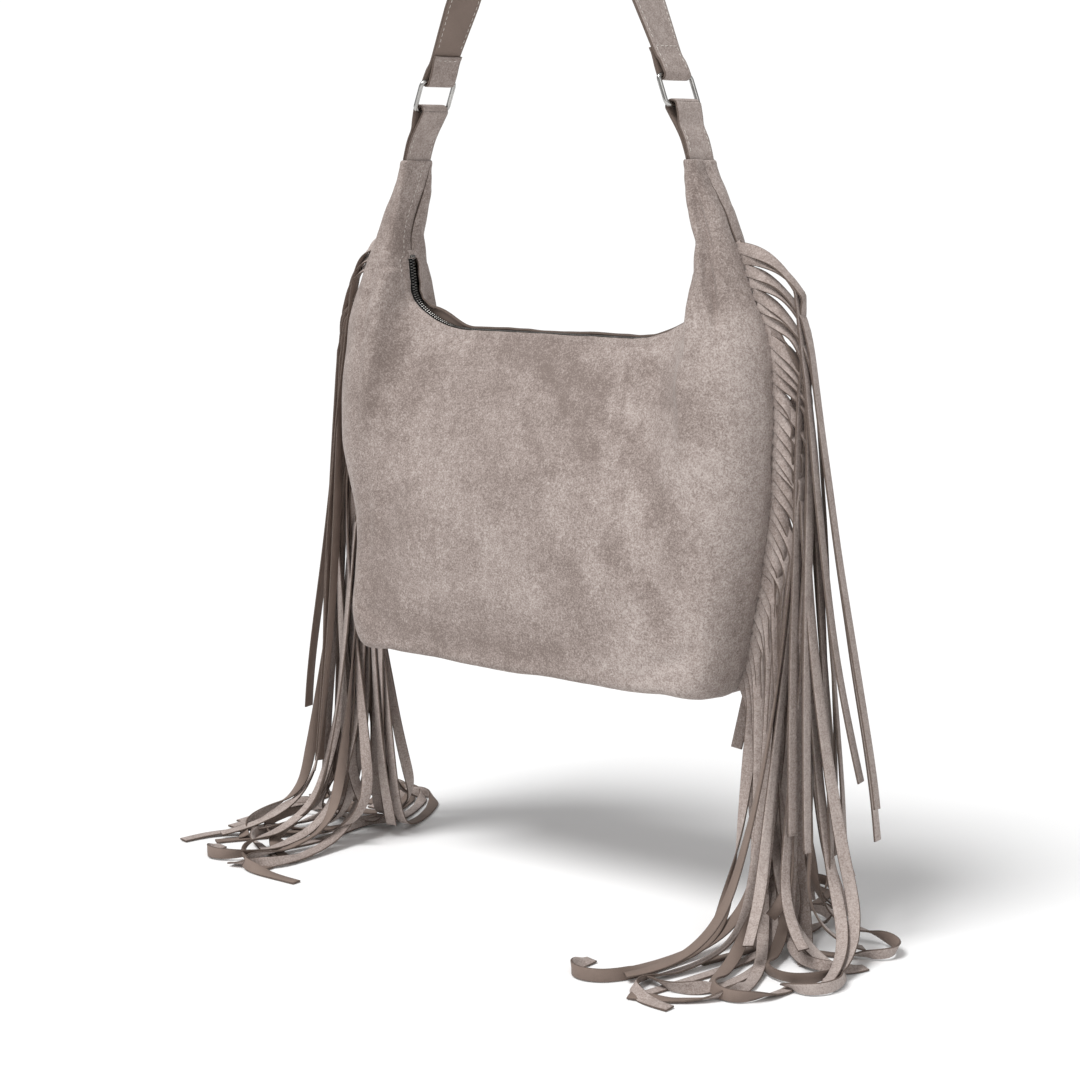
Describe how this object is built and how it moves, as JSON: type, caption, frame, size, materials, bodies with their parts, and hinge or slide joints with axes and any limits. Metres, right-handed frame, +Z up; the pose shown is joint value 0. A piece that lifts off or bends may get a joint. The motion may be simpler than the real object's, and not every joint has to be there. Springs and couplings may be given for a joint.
{
  "type": "fringed shoulder bag",
  "caption": "Soft shoulder bag with a zip along its curved top, a strap held by metal rings and long fringes sewn into its side seams.",
  "frame": {"origin": "underside of the strap's top, where a hook or a shoulder carries the bag", "axes": "+Z up, +X to the bag's right, -Y to its front"},
  "size_m": [0.552, 0.296, 0.7574],
  "materials": {
    "suede": "brushed nap, matte",
    "fringe_suede": "nap on one face, smooth brown backing on the other",
    "lining_cloth": "woven, matte",
    "zip_tape": "woven, matte",
    "zip_teeth": "satin",
    "nickel": "polished"
  },
  "bodies": {
    "body": {"front_panel": "suede", "back_panel": "suede", "lining": "lining_cloth", "strap": "suede", "tab_left": "suede", "tab_right": "suede", "fringe_left": "fringe_suede", "fringe_right": "fringe_suede", "zip_stop_left": "nickel", "zip_stop_right": "nickel", "zip_tape_front": "zip_tape", "zip_tape_back": "zip_tape", "zip_teeth_front": "zip_teeth", "zip_teeth_back": "zip_teeth"},
    "ring_l": {"ring_left": "nickel"},
    "ring_r": {"ring_right": "nickel"},
    "slider": {"zip_slider": "nickel"},
    "pull": {"zip_pull": "nickel"}
  },
  "joints": [
    {"name": "ring_left_rock", "type": "hinge", "parent": "body", "child": "ring_l", "pos_m": [-0.10132, 0, -0.18516], "axis": [0.2079, 0.9781, 0], "range_deg": [-3, 3]},
    {"name": "ring_right_rock", "type": "hinge", "parent": "body", "child": "ring_r", "pos_m": [0.10132, 0, -0.18516], "axis": [0.2079, 0.9781, 0], "range_deg": [-3, 3]},
    {"name": "zip_slide", "type": "slide", "parent": "body", "child": "slider", "axis": [-0.1253, 0, -0.9921], "range_m": [0, 0.008]},
    {"name": "pull_swing", "type": "hinge", "parent": "slider", "child": "pull", "pos_m": [0.12293, 0, -0.31444], "axis": [0, 1, 0], "range_deg": [0, 120]}
  ]
}
